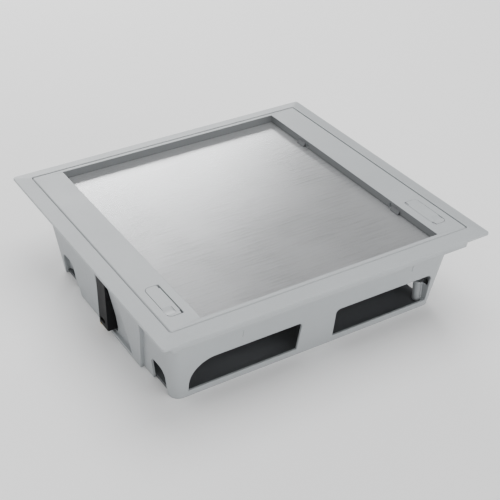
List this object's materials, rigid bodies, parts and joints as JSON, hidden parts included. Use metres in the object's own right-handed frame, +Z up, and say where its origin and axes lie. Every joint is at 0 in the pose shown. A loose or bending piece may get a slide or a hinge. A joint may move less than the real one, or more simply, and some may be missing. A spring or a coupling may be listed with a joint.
{
  "type": "floor socket box",
  "caption": "Flush floor box with a recessed hinged lid, cable flaps, a tapered body with cable windows, swing-out floor clamps and upright power and data modules.",
  "frame": {"origin": "centre of the underside", "axes": "+X along the lid's front edge, +Y from the front edge to the hinge edge, +Z up out of the floor"},
  "size_m": [0.302, 0.29, 0.0865],
  "materials": {
    "frame_plastic": "satin moulded",
    "body_plastic": "satin moulded",
    "base_plastic": "fine matt grain",
    "clip_plastic": "satin moulded",
    "tray_steel": "satin, fine straight grain",
    "claw_plastic": "matt glass-filled",
    "zinc_steel": "bright zinc",
    "carrier_steel": "galvanised sheet",
    "terminal_brass": "turned",
    "contact_metal": "nickel plated",
    "module_white": "smooth moulded",
    "jack_plastic": "smooth moulded",
    "seal_rubber": "closed-cell foam"
  },
  "bodies": {
    "box": {"back_blank_module": "module_white", "back_data_jacks": "jack_plastic", "back_data_module": "module_white", "back_module_carrier": "carrier_steel", "back_socket_1": "module_white", "back_socket_1_contacts": "terminal_brass", "back_socket_1_earth": "contact_metal", "back_socket_2": "module_white", "back_socket_2_contacts": "terminal_brass", "back_socket_2_earth": "contact_metal", "base_plate": "base_plastic", "base_screws": "zinc_steel", "box_body": "body_plastic", "carrier_screws": "zinc_steel", "earth_bar": "terminal_brass", "earth_bar_screws": "zinc_steel", "floor_frame": "frame_plastic", "frame_screws": "zinc_steel", "front_blank_module": "module_white", "front_data_jacks": "jack_plastic", "front_data_module": "module_white", "front_module_carrier": "carrier_steel", "front_socket_1": "module_white", "front_socket_1_contacts": "terminal_brass", "front_socket_1_earth": "contact_metal", "front_socket_2": "module_white", "front_socket_2_contacts": "terminal_brass", "front_socket_2_earth": "contact_metal", "lid_seal": "seal_rubber"},
    "lid": {"lid_frame": "frame_plastic", "lid_plate": "tray_steel", "plate_clips": "clip_plastic", "lid_hinge_pins": "zinc_steel", "left_flap_pin": "zinc_steel", "right_flap_pin": "zinc_steel"},
    "left_flap": {"left_cable_flap": "frame_plastic"},
    "right_flap": {"right_cable_flap": "frame_plastic"},
    "left_screw": {"left_clamp_screw": "zinc_steel"},
    "left_nut": {"left_clamp_nut": "terminal_brass"},
    "left_claw": {"left_clamp_claw": "claw_plastic"},
    "right_screw": {"right_clamp_screw": "zinc_steel"},
    "right_nut": {"right_clamp_nut": "terminal_brass"},
    "right_claw": {"right_clamp_claw": "claw_plastic"}
  },
  "joints": [
    {"name": "lid_hinge", "type": "hinge", "parent": "box", "child": "lid", "pos_m": [0, 0.1258, 0.084], "axis": [-1, 0, 0], "range_deg": [0, 135]},
    {"name": "left_flap_hinge", "type": "hinge", "parent": "lid", "child": "left_flap", "pos_m": [-0.1196, -0.094, 0.085], "axis": [0, 1, 0], "range_deg": [0, 90]},
    {"name": "left_clamp_lift", "type": "slide", "parent": "box", "child": "left_nut", "axis": [0, 0, 1], "range_m": [0, 0.011]},
    {"name": "left_screw_turn", "type": "hinge", "parent": "box", "child": "left_screw", "pos_m": [-0.1305, 0.00475, 0.0705], "axis": [0, 0, -1], "range_deg": [0, 3961]},
    {"name": "left_claw_swing", "type": "hinge", "parent": "left_nut", "child": "left_claw", "pos_m": [-0.1305, 0.00475, 0.0078], "axis": [0, 0, -1], "range_deg": [0, 90]},
    {"name": "right_flap_hinge", "type": "hinge", "parent": "lid", "child": "right_flap", "pos_m": [0.1196, -0.094, 0.085], "axis": [0, -1, 0], "range_deg": [0, 90]},
    {"name": "right_clamp_lift", "type": "slide", "parent": "box", "child": "right_nut", "axis": [0, 0, 1], "range_m": [0, 0.011]},
    {"name": "right_screw_turn", "type": "hinge", "parent": "box", "child": "right_screw", "pos_m": [0.1305, 0.00475, 0.0705], "axis": [0, 0, -1], "range_deg": [0, 3961]},
    {"name": "right_claw_swing", "type": "hinge", "parent": "right_nut", "child": "right_claw", "pos_m": [0.1305, 0.00475, 0.0078], "axis": [0, 0, 1], "range_deg": [0, 90]}
  ],
  "couplings": [
    {"joint": "left_screw_turn", "follows": "left_clamp_lift", "rad_per_m": 6283.2},
    {"joint": "right_screw_turn", "follows": "right_clamp_lift", "rad_per_m": 6283.2}
  ]
}
